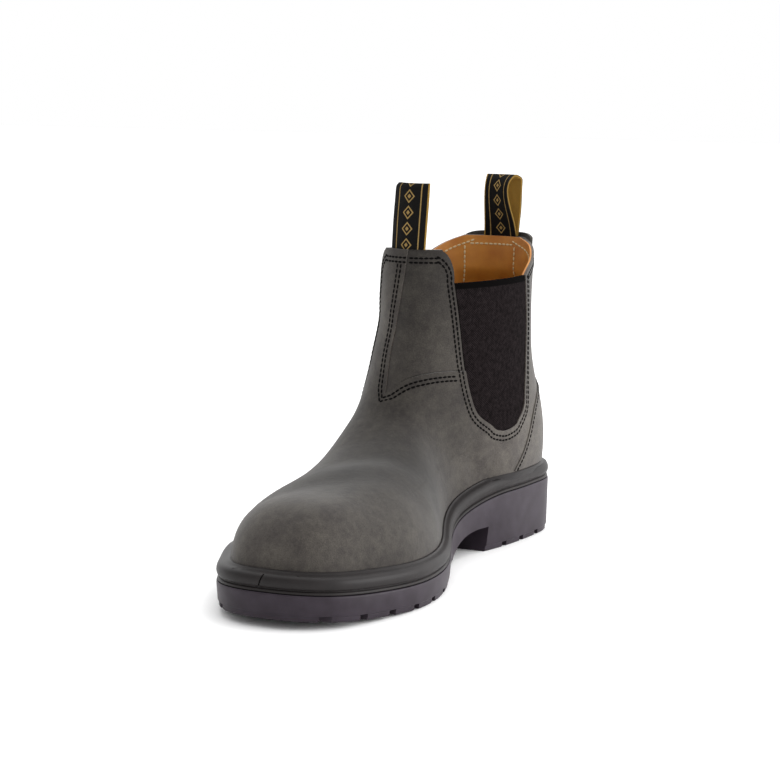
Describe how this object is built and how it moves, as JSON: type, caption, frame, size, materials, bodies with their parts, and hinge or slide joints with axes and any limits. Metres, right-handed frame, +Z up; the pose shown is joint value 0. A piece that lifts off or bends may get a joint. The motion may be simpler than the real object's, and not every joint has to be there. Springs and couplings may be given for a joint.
{
  "type": "side gore work boot",
  "caption": "Ankle-high leather work boot for the right foot with elastic side gores, pull loops and a lugged rubber sole.",
  "frame": {"origin": "middle of the sole's bounding box, on the floor", "axes": "+Z up, +Y towards the heel, +X towards the inner (medial) side of the foot"},
  "size_m": [0.1172, 0.3, 0.2072],
  "materials": {
    "nubuck": "oiled charcoal nubuck, matt, clouded",
    "gore": "black ribbed elastic",
    "rand": "near-black brown, satin",
    "tread": "dark purplish grey rubber, satin",
    "footbed": "tan leather over foam",
    "webbing": "black twill webbing with a beige woven motif"
  },
  "bodies": {
    "root": {"upper": "nubuck", "front_panel": "nubuck", "heel_patch": "nubuck", "gore_medial": "gore", "gore_lateral": "gore", "midsole": "rand", "outsole": "tread", "insole": "footbed", "pull_loop_front": "webbing", "pull_loop_back": "webbing"}
  },
  "joints": []
}
